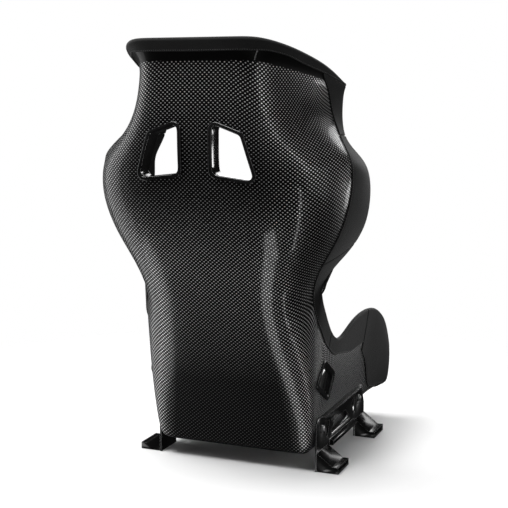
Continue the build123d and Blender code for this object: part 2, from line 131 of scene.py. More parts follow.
def on_shell(u, v):
    """Points of the outer face for arrays u, v (0..1) of one shape."""
    u, v = np.broadcast_arrays(np.asarray(u, float), np.asarray(v, float))
    bu = basis(NET.shape[1], u.ravel())
    bv = basis(NET.shape[0], v.ravel())
    return np.einsum("ni,nj,ijk->nk", bv, bu, NET, optimize=True).reshape(u.shape + (3,))


def slopes(u, v):
    """Steps along u and along v, per unit of each."""
    step = 1e-4
    u0, u1 = np.clip(u - step, 0, 1), np.clip(u + step, 0, 1)
    v0, v1 = np.clip(v - step, 0, 1), np.clip(v + step, 0, 1)
    along = (on_shell(u1, v) - on_shell(u0, v)) / (u1 - u0)[..., None]
    up = (on_shell(u, v1) - on_shell(u, v0)) / (v1 - v0)[..., None]
    return along, up


def unit(vectors):
    return vectors / norm(vectors, axis=-1, keepdims=True)


def inward(u, v):
    """Unit normals of the shell that point into the bucket."""
    along, up = slopes(u, v)
    return unit(np.cross(along, up))


def at(u, v, depth):
    """Points at a depth into the bucket."""
    u, v = np.broadcast_arrays(np.asarray(u, float), np.asarray(v, float))
    depth = np.broadcast_to(np.asarray(depth, float), u.shape)
    return on_shell(u, v) + inward(u, v) * depth[..., None]


# dense sampling, to find the place (u, v) of any point near the shell
dense_u, dense_v = np.meshgrid(np.linspace(0, 1, 161), np.linspace(0, 1, 261))
DENSE = on_shell(dense_u, dense_v)
tree = KDTree(DENSE.shape[0] * DENSE.shape[1])
for index, point in enumerate(DENSE.reshape(-1, 3)):
    tree.insert(point, index)
tree.balance()


def locate(points):
    """(u, v, depth) of the shell place nearest to each point."""
    found = np.array([tree.find(p)[1] for p in points])
    u = dense_u.ravel()[found].copy()
    v = dense_v.ravel()[found].copy()
    for _ in range(3):
        gap = points - on_shell(u, v)
        along, up = slopes(u, v)
        aa, bb, ab = (along * along).sum(-1), (up * up).sum(-1), (along * up).sum(-1)
        ga, gb = (gap * along).sum(-1), (gap * up).sum(-1)
        det = np.maximum(aa * bb - ab * ab, 1e-9)
        u = np.clip(u + np.clip((ga * bb - gb * ab) / det, -.01, .01), 0, 1)
        v = np.clip(v + np.clip((gb * aa - ga * ab) / det, -.01, .01), 0, 1)
    depth = ((points - on_shell(u, v)) * inward(u, v)).sum(-1)
    return u, v, depth


def running_length(points, axis):
    """Length along one axis of a grid of points, from its start."""
    steps = norm(np.diff(points, axis=axis), axis=-1)
    pad = [(0, 0), (0, 0)]
    pad[axis] = (1, 0)
    return np.cumsum(np.pad(steps, pad), axis=axis)


# fabric measure of the laminate: millimetres across from the centre line and along from
# the waist, so that the cloth keeps an even thread width over the curved shell
WAIST = 0.56  # share of the shell's length where the measure starts
across = running_length(DENSE, 1)
across -= across[:, [DENSE.shape[1] // 2]]
along_v = running_length(DENSE, 0)
along_v -= along_v[[int(DENSE.shape[0] * WAIST)], :]


def lengths(line):
    """Length from a line's start to each of its points."""
    return np.concatenate([[0], np.cumsum(norm(np.diff(line, axis=0), axis=-1))])


def sample_grid(grid, u, v):
    """Bilinear values of a dense grid at places u, v."""
    x = np.clip(u, 0, 1) * (grid.shape[1] - 1)
    y = np.clip(v, 0, 1) * (grid.shape[0] - 1)
    i = np.minimum(x.astype(int), grid.shape[1] - 2)
    j = np.minimum(y.astype(int), grid.shape[0] - 2)
    fx, fy = x - i, y - j
    low = grid[j, i] * (1 - fx) + grid[j, i + 1] * fx
    high = grid[j + 1, i] * (1 - fx) + grid[j + 1, i + 1] * fx
    return low * (1 - fy) + high * fy


def curve(pairs, blur=0.018):
    """Smoothed line through (place, value) pairs."""
    places = [p[0] for p in pairs]
    values = [p[1] for p in pairs]
    return lambda x: sum(np.interp(x + d, places, values) for d in np.linspace(-blur, blur, 9)) / 9


def quarter(x, radius):
    """Rise of a quarter round: 0 at x = 0, 1 from x = radius."""
    f = np.clip(x / radius, 0, 1)
    return np.sqrt(1 - (1 - f) ** 2)


# ---- mesh helpers
def link(obj):
    scene.collection.objects.link(obj)
    return obj


def shade_smooth(mesh):
    mesh.polygons.foreach_set("use_smooth", [True] * len(mesh.polygons))


def make_object(name, points, faces):
    """Mesh object from points in millimetres."""
    mesh = bpy.data.meshes.new(name)
    mesh.from_pydata((np.asarray(points) / 1000).tolist(), [], [list(map(int, f)) for f in faces])
    mesh.validate()
    mesh.update()
    shade_smooth(mesh)
    return link(bpy.data.objects.new(name, mesh))


def grid_faces(rows, columns):
    """Quads of a grid of rows by columns points."""
    faces = []
    for j in range(rows - 1):
        for i in range(columns - 1):
            a = j * columns + i
            faces.append((a, a + 1, a + columns + 1, a + columns))
    return faces


def fix_normals(obj):
    """Faces all turned outward."""
    bm = bmesh.new()
    bm.from_mesh(obj.data)
    bmesh.ops.remove_doubles(bm, verts=bm.verts, dist=1e-6)
    bmesh.ops.recalc_face_normals(bm, faces=bm.faces)
    bm.to_mesh(obj.data)
    bm.free()
    obj.data.update()


def outward_object(name, points, faces):
    obj = make_object(name, points, faces)
    fix_normals(obj)
    return obj


def ring_faces(rings, around, start=0, closed=False):
    """Quads between rings of points; a closed row of rings joins its last to its first."""
    faces = []
    for i in range(rings if closed else rings - 1):
        a, b = start + i * around, start + (i + 1) % rings * around
        for j in range(around):
            n = (j + 1) % around
            faces.append((a + j, a + n, b + n, b + j))
    return faces


def closed_rings(name, rings):
    """Object from a closed row of rings of points."""
    return outward_object(name, rings.reshape(-1, 3), ring_faces(*rings.shape[:2], closed=True))


def place_of(obj):
    """Vertex places in millimetres."""
    co = np.zeros(len(obj.data.vertices) * 3, np.float32)
    obj.data.vertices.foreach_get("co", co)
    return co.reshape(-1, 3).astype(float) * 1000


def set_place(obj, points):
    obj.data.vertices.foreach_set("co", (np.asarray(points) / 1000).ravel().astype(np.float32))
    obj.data.update()


def mirrored(obj, name):
    """Copy of a piece on the -X side."""
    mesh = obj.data.copy()
    twin = link(bpy.data.objects.new(name, mesh))
    points = place_of(twin)
    points[:, 0] *= -1
    set_place(twin, points)
    mesh.flip_normals()
    return twin


def finish_piece(obj, material, nodes=()):
    """Material and body of a piece; the CAD nodes that it stands for are hidden."""
    obj.data.materials.clear()
    obj.data.materials.append(material)
    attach(obj, "root")
    if nodes:
        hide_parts(*nodes)
    return obj


def finish_pair(obj, material, node=None):
    """A piece on the +X side, whose name ends in _l, and its twin on the -X side."""
    twin = mirrored(obj, obj.name[:-2] + "_r")
    for piece, side in ((obj, "_l"), (twin, "_r")):
        finish_piece(piece, material, [node + side] if node else ())
    return obj, twin


# ---- material helpers
class Nodes:
    """Short calls for a node material."""

    def __init__(self, name):
        self.material = bpy.data.materials.new(name)
        self.material.use_nodes = True
        self.tree = self.material.node_tree
        self.shader = self.tree.nodes["Principled BSDF"]

    def set(self, **values):
        for key, value in values.items():
            self.shader.inputs[key.replace("_", " ")].default_value = value

    def put(self, socket, value):
        if isinstance(value, (int, float, tuple)):
            socket.default_value = value
        else:
            self.tree.links.new(value, socket)

    def to(self, key, value):
        self.put(self.shader.inputs[key], value)

    def colour(self, factor, a, b):
        self.to("Base Color", self.mix(factor, a, b))

    def node(self, kind, **settings):
        return give(self.tree.nodes.new(kind), **settings)

    def math(self, operation, a, b=0.0, c=0.0, clamp=False):
        made = self.node("ShaderNodeMath", operation=operation, use_clamp=clamp)
        for socket, value in zip(made.inputs, (a, b, c)):
            self.put(socket, value)
        return made.outputs[0]

    def plus(self, a, b):
        return self.math("ADD", a, b)

    def times(self, a, b):
        return self.math("MULTIPLY", a, b)

    def rest_of(self, a, clamp=False):
        """1 - a"""
        return self.math("SUBTRACT", 1.0, a, clamp=clamp)

    def texture(self, kind, numbers, vector=None, **settings):
        """Node laid by a vector or the object's own coordinates, with numbers on its sockets."""
        made = self.node(kind, **settings)
        if vector is None:
            vector = self.node("ShaderNodeTexCoord").outputs["Object"]
        self.put(made.inputs["Vector"], vector)
        for key, value in numbers.items():
            made.inputs[key].default_value = value
        return made

    def noise(self, scale, detail=3.0, rough=0.5, vector=None):
        numbers = dict(Scale=scale, Detail=detail, Roughness=rough)
        return self.texture("ShaderNodeTexNoise", numbers, vector).outputs["Fac"]

    def ramp(self, value, low, high, start=0.0, end=1.0):
        """value's range start..end moved to low..high."""
        made = self.node("ShaderNodeMapRange", clamp=True)
        for socket, number in zip(made.inputs, (value, start, end, low, high)):
            self.put(socket, number)
        return made.outputs[0]

    def spread(self, value, start, end):
        return self.ramp(value, 0.0, 1.0, start, end)

    def mix(self, factor, a, b):
        """Mix of two colours, where a plain number is a grey."""
        made = self.node("ShaderNodeMix", data_type="RGBA")
        self.put(made.inputs["Factor"], factor)
        for socket, colour in zip(made.inputs[6:8], (a, b)):
            self.put(socket, grey(colour) if isinstance(colour, float) else colour)
        return made.outputs[2]

    def bump(self, height, distance, strength=1.0, under=None):
        made = self.node("ShaderNodeBump")
        made.inputs["Strength"].default_value = strength
        made.inputs["Distance"].default_value = distance
        self.put(made.inputs["Height"], height)
        if under is not None:
            self.put(made.inputs["Normal"], under)
        return made.outputs[0]


def grey(value):
    return (value, value, value, 1.0)


# ---- materials
TOW = (5.0, 4.4)  # width of the cloth's thread bundles across and along, mm
LIP_START = 0.938  # place along the shell where the plain gloss lip begins


def carbon_material():
    """Plain woven cloth under lacquer, laid out by the shell's own measure."""
    m = Nodes("woven_carbon")
    cloth = m.node("ShaderNodeSeparateXYZ")
    m.put(cloth.inputs[0], m.node("ShaderNodeUVMap", uv_map="cloth").outputs[0])
    x = m.plus(cloth.outputs[0], m.ramp(m.noise(6.0, 2.0), -0.12, 0.12, 0.3, 0.7))
    y = m.plus(cloth.outputs[1], m.ramp(m.noise(5.0, 2.0), -0.12, 0.12, 0.3, 0.7))
    cells = m.plus(m.math("FLOOR", x), m.math("FLOOR", y))
    odd = m.math("FLOORED_MODULO", cells, 2.0)
    even = m.rest_of(odd)
    fx = m.math("SUBTRACT", m.math("FRACT", x), 0.5)
    fy = m.math("SUBTRACT", m.math("FRACT", y), 0.5)
    # distance along and across the thread that lies on top in this cell
    run = m.plus(m.times(fy, odd), m.times(fx, even))
    side = m.plus(m.times(fx, odd), m.times(fy, even))
    run2, side2 = m.times(run, run), m.times(side, side)
    crown = m.times(m.rest_of(m.times(run2, 3.2)), m.rest_of(m.times(side2, 2.6)))
    # fine filaments along each thread
    strands = m.times(m.math("SINE", m.times(side, 88.0)), 0.045)
    height = m.plus(crown, strands)
    # painted highlight: only one of the two thread directions gets a bright reflective dash in the
    # middle of each cell, as if it alone caught the light; the dash stands for the fibres' own
    # gloss
    dash = m.times(m.rest_of(m.times(run2, 11.0), clamp=True),
                   m.rest_of(m.times(side2, 7.0), clamp=True))
    patchy = m.ramp(m.noise(2.2, 2.0), 0.70, 1.2, 0.3, 0.7)
    fibre_gloss_and_painted_light = m.times(m.plus(m.times(odd, 0.99), 0.01), dash)
    fibre_gloss_and_painted_light = m.times(fibre_gloss_and_painted_light, patchy)
    place = m.node("ShaderNodeSeparateXYZ")
    m.put(place.inputs[0], m.node("ShaderNodeUVMap", uv_map="place").outputs[0])
    u, v = place.outputs[0], place.outputs[1]
    # painted shade: the weave's dashes are dimmed in the middle of the lower back and round the
    # harness slots, where less light falls
    off_middle = m.math("ABSOLUTE", m.math("SUBTRACT", u, 0.5))
    middle = m.ramp(off_middle, 1.0, 0.0, 0.17, 0.25)
    low = m.ramp(v, 0.88, 0.0, 0.44, 0.60)
    painted_shade_at_slots = m.times(m.ramp(v, 0.0, 0.45, 0.63, 0.70), m.ramp(v, 1.0, 0.0, 0.78, 0.86))
    painted_shade = m.times(middle, m.plus(low, painted_shade_at_slots))
    fibre_gloss_and_painted_light = m.times(fibre_gloss_and_painted_light, m.rest_of(painted_shade))
    # the dashes, with their painted highlight and painted shade, go into the base colour
    weave = m.mix(fibre_gloss_and_painted_light, 0.0010, 0.85)
    lip = m.spread(v, LIP_START - .0015, LIP_START + .0015)
    m.colour(lip, weave, 0.004)
    m.set(Metallic=0.75, Coat_Weight=0.22, Coat_Roughness=0.09, Coat_IOR=1.45,
          Specular_IOR_Level=0.1)
    m.to("Roughness", m.plus(m.ramp(fibre_gloss_and_painted_light, 0.5, 0.38), m.ramp(m.noise(180.0), -.03, .03)))
    m.to("Normal", m.bump(m.times(height, m.rest_of(lip)), 0.00035, 0.8))
    m.to("Coat Normal", m.bump(m.noise(24.0, 2.0), 0.0006, 0.12))
    return m.material


def suede_material(name, tone, sheen):
    m = Nodes(name)
    pile = m.noise(900.0, 4.0, 0.7)
    brushed = m.noise(9.0, 3.0, 0.55)
    tint = m.mix(m.spread(brushed, 0.35, 0.65), tone * 0.72, tone * 1.35)
    m.colour(m.spread(pile, 0.35, 0.7), tint, tone * 0.5)
    m.to("Roughness", m.ramp(pile, 0.86, 0.98))
    m.set(Sheen_Weight=sheen, Sheen_Roughness=0.45, Sheen_Tint=grey(0.8), Specular_IOR_Level=0.18)
    fine = m.bump(pile, 0.0006, 0.55)
    m.to("Normal", m.bump(m.noise(55.0, 3.0, 0.6), 0.0012, 0.35, fine))
    return m.material


def knit_material():
    """Non-slip knitted cover: small raised cells over a soft ground."""
    m = Nodes("cushion_knit")
    cells = m.texture("ShaderNodeTexVoronoi", dict(Scale=420.0, Randomness=0.15),
                      feature="F1", distance="CHEBYCHEV")
    knob = m.ramp(cells.outputs["Distance"], 1.0, 0.0, 0.1, 0.6)
    brushed = m.noise(12.0, 3.0)
    ground = m.mix(m.spread(brushed, 0.35, 0.65), 0.007, 0.013)
    m.colour(knob, 0.003, ground)
    m.to("Roughness", m.ramp(knob, 0.95, 0.72))
    m.set(Sheen_Weight=0.12, Sheen_Roughness=0.5, Specular_IOR_Level=0.3)
    fine = m.bump(knob, 0.0005, 0.7)
    m.to("Normal", m.bump(m.noise(30.0, 3.0, 0.6), 0.0015, 0.3, fine))
    return m.material


def tape_material():
    m = Nodes("hook_tape")
    hooks = m.texture("ShaderNodeTexWave", dict(Scale=300.0, Distortion=2.0),
                      wave_type="BANDS", bands_direction="DIAGONAL").outputs["Fac"]
    m.colour(hooks, 0.008, 0.035)
    m.to("Roughness", m.ramp(hooks, 0.9, 0.6))
    m.to("Normal", m.bump(hooks, 0.0006, 0.8))
    return m.material


def moulded_material():
    """Gloss black moulding with faint flow marks and light handling marks."""
    m = Nodes("gloss_moulding")
    smear = m.noise(16.0, 4.0, 0.6)
    m.colour(m.spread(smear, 0.4, 0.7), 0.006, 0.011)
    m.to("Roughness", m.plus(m.ramp(smear, 0.07, 0.16, 0.35, 0.75),
                             m.ramp(m.noise(260.0, 2.0), -.015, .015)))
    m.set(Specular_IOR_Level=0.4, Coat_Weight=0.3, Coat_Roughness=0.05)
    m.to("Normal", m.bump(m.noise(70.0, 2.0), 0.0005, 0.08))
    return m.material


def powder_material():
    """Black powder coat on steel: fine orange peel, and a painted highlight along the edges, which
    are also a little rougher.
    """
    m = Nodes("powder_coat")
    # an edge is where a slightly rounded normal leaves the true one
    rounded = m.node("ShaderNodeBevel", samples=6)
    m.put(rounded.inputs["Radius"], 0.0013)
    turn = m.node("ShaderNodeVectorMath", operation="DOT_PRODUCT")
    m.put(turn.inputs[0], rounded.outputs[0])
    m.put(turn.inputs[1], m.node("ShaderNodeNewGeometry").outputs["Normal"])
    # painted highlight: a light colour on the edges, broken up by noise, stands in for the glints
    # along them
    edge_wear_and_painted_glint = m.ramp(turn.outputs["Value"], 1.0, 0.0, 0.80, 0.985)
    edge_wear_and_painted_glint = m.times(edge_wear_and_painted_glint, m.ramp(m.noise(60.0, 4.0), 0.4, 1.0, 0.35, 0.6))
    base = m.mix(m.spread(m.noise(14.0, 4.0), 0.35, 0.7), 0.003, 0.005)
    m.colour(edge_wear_and_painted_glint, base, 0.60)
    m.to("Roughness", m.plus(m.ramp(m.noise(22.0, 4.0), 0.20, 0.26, 0.35, 0.7),
                             m.times(edge_wear_and_painted_glint, 0.10)))
    m.set(Specular_IOR_Level=0.2, Coat_Weight=0.12, Coat_Roughness=0.08)
    m.to("Normal", m.bump(m.noise(650.0, 2.0), 0.0003, 0.25))
    return m.material


def steel_material(name, tone, metal_rough, scale):
    """Turned or plated metal with fine lathe lines about X."""
    m = Nodes(name)
    stretch = m.texture("ShaderNodeMapping", dict(Scale=(12.0, 1.0, 1.0)))
    lines = m.noise(scale, 3.0, 0.6, stretch.outputs[0])
    light = m.spread(lines, 0.3, 0.7)
    m.colour(light, tone * 0.75, tone * 1.1)
    m.to("Roughness", m.ramp(lines, metal_rough - 0.08, metal_rough + 0.1, 0.3, 0.7))
    m.set(Metallic=1.0)
    m.to("Normal", m.bump(lines, 0.0002, 0.3))
    return m.material


def thread_material():
    m = Nodes("sewing_thread")
    fibres = m.noise(1500.0, 2.0)
    m.colour(fibres, 0.02, 0.06)
    m.to("Roughness", m.ramp(fibres, 0.55, 0.75))
    m.set(Sheen_Weight=0.3)
    m.to("Normal", m.bump(fibres, 0.0003, 0.5))
    return m.material


CARBON = carbon_material()
SUEDE = suede_material("edge_suede", 0.010, 0.16)
KNIT = knit_material()
TAPE = tape_material()
MOULDED = moulded_material()
POWDER = powder_material()
ZINC = steel_material("zinc_steel", 0.32, 0.38, 500.0)
ALLOY = steel_material("turned_alloy", 0.55, 0.32, 500.0)
THREAD = thread_material()


# ---- carbon shell
def add_places(obj):
    """UV layers with the cloth measure, in thread widths, and the place on the shell."""
    u, v, _ = locate(place_of(obj))
    cloth = np.stack([sample_grid(across, u, v), sample_grid(along_v, u, v)], -1) / np.array(TOW)
    place = np.stack([u, v], -1)
    loops = np.zeros(len(obj.data.loops), np.int32)
    obj.data.loops.foreach_get("vertex_index", loops)
    for name, values in (("cloth", cloth), ("place", place)):
        layer = obj.data.uv_layers.new(name=name)
        layer.data.foreach_set("uv", values[loops].ravel().astype(np.float32))


def paint(node, material):
    """A CAD piece kept as it is, with its material."""
    obj = NODES[node]
    obj.data.materials.clear()
    obj.data.materials.append(material)
    return obj


SHELL = ("shell_pan", "shell_back", "shell_shoulders", "shell_head", "shell_side")
for node in NODES:
    if node.startswith(SHELL):
        add_places(paint(node, CARBON))

# ---- fabric edge covers
# LEG_IN and COVER_IN are how far a side cover reaches in from the rim, by the place along
# the shell; TOP_IN is where the head's cover starts, by the place across it
LEG_IN = curve([(0, .175), (.03, .165), (.044, .145), (.052, .115), (.062, .085), (.073, .062),
                (.10, .038)], .008)
COVER_IN = curve([(0, .030), (.15, .030), (.22, .013), (.30, .013), (.38, .020), (.465, .040),
                  (.535, .080), (.585, .108), (.63, .108), (.675, .100), (.705, .090), (.75, .060),
                  (.78, .035), (.81, .014), (.85, .020), (.915, .030), (.955, .046), (1, .058)])
TOP_IN = curve([(0, .9705), (.09, .9705), (.16, .980), (.24, .978), (.32, .971), (.5, .969),
                (.68, .971), (.76, .978), (.84, .980), (.91, .9705), (1, .9705)])
RIM_BULGE = 1.6  # how far the rounded rim stands past the CAD edge, mm
PROUD = 0.5  # how far the fabric stands proud of the CAD cover, mm
LIP_WIDTH = 3.0  # width of the thin rolled lip along a cover's inner line, mm
END_ROLL = 3.0  # length over which a cover's end rolls in to its seam, mm
SEAM_INSET = 4.2  # distance of the stitching from a cover's inner line, mm
SEAM_LIFT = 0.12  # height of the stitching over the fabric, mm
THINNEST = 0.05  # least thickness of the fabric, mm
LINING = 0.02  # gap that keeps a cover's lining off the laminate, mm
stitch_runs = []


def side_band(inner_line):
    """(s, t) on the +X rim; s runs from the cover's inner line to the rim."""
    def band(s, v):
        start = 1 - inner_line(v)
        return start + (1 - start) * s, v
    return band


def top_band(s, u):
    """(s, u) on the head's top rim."""
    low = TOP_IN(u)
    return u, low + (1 - low) * s


def front_band(s, u):
    """(s, u) on the front lip of the base."""
    return u, 0.011 * (1 - s)


def edge_cover(name, band, low, high, pitch=5.0):
    """Soft fabric channel over the rim: thin rolled lip, full sides and a round rim."""
    path = np.linspace(low, high, 400)
    rim = on_shell(*band(np.ones_like(path), path))
    length = lengths(rim)
    count = max(12, int(length[-1] / pitch))
    places = np.linspace(0, 1, count + 1)
    # close rows at both ends, so that each end rolls in to its seam
    places = np.unique(np.concatenate([places, [1.0 / length[-1], 2.5 / length[-1],
                                                1 - 2.5 / length[-1], 1 - 1.0 / length[-1]]]))
    t = np.interp(places * length[-1], length, path)
    end_gap = np.minimum(places, 1 - places) * length[-1]
    roll = 0.35 + 0.65 * quarter(end_gap, END_ROLL)
    inner_edge = on_shell(*band(np.zeros_like(t), t))
    rim = on_shell(*band(np.ones_like(t), t))
    width = norm(rim - inner_edge, axis=-1)
    radius = WALL / 2 + SKIN + PROUD
    stop = 1 - np.clip((radius - RIM_BULGE) / width, 0.02, 0.6)
    outer, inner, lining_out, lining_in = [], [], [], []
    # five rows over the lip, then seven to the rim
    s_list = [np.minimum(k * LIP_WIDTH / width, stop * .8) for k in (0, .12, .35, .7, 1)]
    base = s_list[-1]
    for f in np.linspace(0, 1, 8)[1:]:
        s_list.append(base + (stop - base) * f)
    for s in s_list:
        u, v = band(s, t)
        thick = (SKIN + PROUD) * roll * quarter(s * width, LIP_WIDTH) + THINNEST
        outer.append(at(u, v, -thick))
        inner.append(at(u, v, WALL + thick))
        lining_out.append(at(u, v, -LINING))
        lining_in.append(at(u, v, WALL + LINING))
    # round rim about the wall's middle
    u, v = band(stop, t)
    centre = at(u, v, WALL / 2)
    normal = inward(u, v)
    outwards = unit(rim - on_shell(u, v))
    r = WALL / 2 + (SKIN + PROUD) * roll + THINNEST
    arc_out, arc_in = [], []
    for a in np.linspace(0, 90, 7)[1:]:
        c, s_ = math.cos(math.radians(a)), math.sin(math.radians(a))
        arc_out.append(centre - normal * (r * c)[:, None] + outwards * (r * s_)[:, None])
        arc_in.append(centre + normal * (r * c)[:, None] + outwards * (r * s_)[:, None])
    skin = outer + arc_out + arc_in[-2::-1] + inner[::-1]
    lining = lining_out + lining_in[::-1]
    ring = np.array(skin + lining[::-1])
    rows, columns = len(ring), len(t)
    points = ring.transpose(1, 0, 2).reshape(-1, 3)
    faces = ring_faces(columns, rows)
    # end caps between the skin and the lining
    m, n = len(skin) - 1, len(lining) - 1
    for first in (0, (columns - 1) * rows):
        i = k = 0
        while i < m or k < n:
            a, b = first + i, first + rows - 1 - k
            if k == n or (i < m and i / m <= k / n):
                faces.append((a, a + 1, b))
                i += 1
            else:
                faces.append((a, b - 1, b))
                k += 1
    obj = outward_object(name, points, faces)
    u, v = band(SEAM_INSET / width, t)
    for way in (-1, 1):
        level = -(SKIN + PROUD + SEAM_LIFT) if way < 0 else WALL + SKIN + PROUD + SEAM_LIFT
        stitch_runs.append((at(u, v, level), inward(u, v) * way))
    return obj


COVERS = [
    ("leg_wing_cover", side_band(LEG_IN), 0.0, 0.0995),
    ("leg_edge_cover", side_band(COVER_IN), 0.1005, 0.2995),
    ("waist_cover", side_band(COVER_IN), 0.3005, 0.5995),
    ("shoulder_wing_cover", side_band(COVER_IN), 0.6005, 0.8095),
    ("head_wing_cover", side_band(COVER_IN), 0.8105, 0.9695),
]
for name, band, low, high in COVERS:
    finish_pair(edge_cover(name + "_soft_l", band, low, high), SUEDE, name)
side_stitches = list(stitch_runs)
stitch_runs.clear()
for name, band, low, high in (("head_rim_cover", top_band, 0.0, 1.0),
                              ("front_lip_cover", front_band, 0.158, 0.842)):
    finish_piece(edge_cover(name + "_soft", band, low, high), SUEDE, [name])
middle_stitches = list(stitch_runs)


def resample(points, extra, pitch):
    """Points at an even pitch along a line, with their extra vectors and directions."""
    length = lengths(points)
    count = max(2, int(length[-1] / pitch))
    where = (np.arange(count) + 0.5) / count * length[-1]

    def read(values, spots):
        return np.stack([np.interp(spots, length, values[:, k]) for k in range(3)], -1)

    ahead = read(points, where + 1) - read(points, where - 1)
    return read(points, where), unit(ahead), unit(read(extra, where))


def stitches(name, runs, pitch=5.0, long=3.4, thick=0.42):
    """Rows of sewing stitches, each a small rounded bead that dips at its ends."""
    points, faces = [], []
    sides = 6
    # place along the stitch, size and lift of each ring of points
    rings = [(-.5, .25, -.9), (-.38, .85, -.25), (-.12, 1.0, .05), (.12, 1.0, .05),
             (.38, .85, -.25), (.5, .25, -.9)]
    for line, out in runs:
        place, ahead, out_dir = resample(line, out, pitch)
        across_dir = unit(np.cross(ahead, out_dir))
        for p, a, o, c in zip(place, ahead, out_dir, across_dir):
            start = len(points)
            for along, size, lift in rings:
                for k in range(sides):
                    angle = 2 * math.pi * k / sides
                    height = lift * thick + math.sin(angle) * thick * size
                    points.append(p + a * along * long + o * height
                                  + c * math.cos(angle) * thick * 1.15 * size)
            faces += ring_faces(len(rings), sides, start)
            faces.append(range(start, start + sides)[::-1])
            faces.append(range(len(points) - sides, len(points)))
    finish_piece(outward_object(name, points, faces), THREAD)


def flipped(runs):
    """The same lines on the -X side."""
    turn = np.array([-1.0, 1.0, 1.0])
    return [(line * turn, out * turn) for line, out in runs]


stitches("edge_stitching", side_stitches + flipped(side_stitches) + middle_stitches)


# ---- harness bezels
def corners_of(points):
    """Each corner of a closed outline, with the arms to its two neighbours."""
    points = np.array(points, float)
    return [(p, a - p, b - p) for p, a, b in
            zip(points, np.roll(points, 1, 0), np.roll(points, -1, 0))]


def round_corners(points, radius, steps=7):
    """Closed outline with rounded corners, as many points; counter-clockwise order kept."""
    out = []
    for p, a, b in corners_of(points):
        a /= norm(a)
        b /= norm(b)
        half = math.acos(float(np.clip(a @ b, -1, 1))) / 2
        reach = radius / math.tan(half)
        centre = p + unit(a + b) * radius / math.sin(half)
        start = p + a * reach - centre
        end = p + b * reach - centre
        a0 = math.atan2(start[1], start[0])
        a1 = math.atan2(end[1], end[0])
        turn = (a1 - a0 + math.pi) % (2 * math.pi) - math.pi
        for k in range(steps + 1):
            angle = a0 + turn * k / steps
            out.append(centre + radius * np.array([math.cos(angle), math.sin(angle)]))
    return np.array(out)


def fill_line(points, gap):
    """Closed line with points added so that none are further apart than gap."""
    out = []
    for i, p in enumerate(points):
        q = points[(i + 1) % len(points)]
        count = max(1, int(math.ceil(norm(q - p) / gap)))
        for k in range(count):
            out.append(p + (q - p) * k / count)
    return np.array(out)


def cross_2d(a, b):
    return a[:, 0] * b[:, 1] - a[:, 1] * b[:, 0]


def outward_2d(line):
    """Unit vectors that point out of a closed 2-D line."""
    ahead = unit(np.roll(line, -1, 0) - np.roll(line, 1, 0))
    side = np.stack([ahead[:, 1], -ahead[:, 0]], -1)
    middle = line.mean(0)
    if ((line - middle) * side).sum() < 0:
        side = -side
    return side


FULL_SEARCH = 24  # rounds that find a place on the shell from a rough start
NEXT_SEARCH = 5  # rounds that find it from the line next to it


def find_on_shell(plane_points, axes, start, rounds):
    """(u, v) where the shell has two given coordinates."""
    u = np.full(len(plane_points), start[0], float)
    v = np.full(len(plane_points), start[1], float)
    for _ in range(rounds):
        gap = plane_points - on_shell(u, v)[:, axes]
        along, up = slopes(u, v)
        a, b = along[:, axes], up[:, axes]
        det = cross_2d(a, b)
        u = np.clip(u + np.clip(cross_2d(gap, b) / det, -.05, .05), 0, 1)
        v = np.clip(v + np.clip(cross_2d(a, gap) / det, -.05, .05), 0, 1)
    return u, v


def bezel(name, outline, radius, axes, start, profile):
    """Moulded ring swept round a slot. profile is a closed loop of (inset, depth)."""
    insets = sorted({p[0] for p in profile})
    loops = {}
    for inset in insets:
        line = fill_line(round_corners(outline, radius), 4.0)
        line = line - outward_2d(line) * inset
        # smooth the inset line a little, where corners crowd together
        for _ in range(int(abs(inset) * 1.5)):
            line = (np.roll(line, 1, 0) + 2 * line + np.roll(line, -1, 0)) / 4
        if loops:
            start = loops[last]
        loops[inset] = find_on_shell(line, axes, start, NEXT_SEARCH if loops else FULL_SEARCH)
        last = inset
    # the moulding stands straight through the opening, along the axis it was cut on
    through = np.zeros(3)
    missing = ({0, 1, 2} - set(axes)).pop()
    through[missing] = 1.0 if missing == 2 else -1.0
    ring = []
    for inset, depth in profile:
        u, v = loops[inset]
        rate = np.maximum(inward(u, v) @ through, 0.3)
        ring.append(on_shell(u, v) + through * (depth / rate)[:, None])
    return closed_rings(name, np.array(ring))


def rounded_profile(corners, radii, steps=4):
    """Closed (inset, depth) loop with rounded corners."""
    out = []
    for (p, a, b), radius in zip(corners_of(corners), radii):
        reach = min(radius, norm(a) * .48, norm(b) * .48)
        a, b = a / norm(a) * reach, b / norm(b) * reach
        for k in range(steps + 1):
            f = k / steps
            q = p + a * (1 - f) ** 2 + b * f ** 2
            out.append((round(float(q[0]), 4), round(float(q[1]), 4)))
    return out


# outlines of the slots, each in the plane that it was cut in, mm
SHOULDER = [(31.5, 808.0), (110.0, 780.0), (144.5, 671.0), (31.0, 684.5)]
LAP = [(174.0, 263.0), (94.0, 214.0), (113.0, 147.0), (214.0, 206.0)]
CROTCH = [(-62.0, -42.0), (62.0, -42.0), (62.0, 12.0), (-62.0, 12.0)]
XZ, YZ, XY = [0, 2], [1, 2], [0, 1]
SHOULDER_FRONT = SEAT_FACE + 24.5
CROTCH_FRONT = SEAT_FACE + 42.5


def bezel_set(names, outline, radius, axes, start, inset, front, flange=4.2):
    """Outer moulding with its sleeve, and the inner flange."""
    sleeve = inset - 2.4
    outer = rounded_profile(
        [(0, .0), (0, -flange), (inset, -flange), (inset, front + 0.2), (sleeve, front + 0.2),
         (sleeve, 0)],
        [.2, 3.4, 3.6, .3, .3, .3])
    inner = rounded_profile(
        [(0, front), (0, front + 4.0), (inset, front + 4.0), (inset, front)], [.2, 3.0, 3.0, .3])
    return [bezel(name, outline, radius, axes, start, profile)
            for name, profile in zip(names, (outer, inner))]


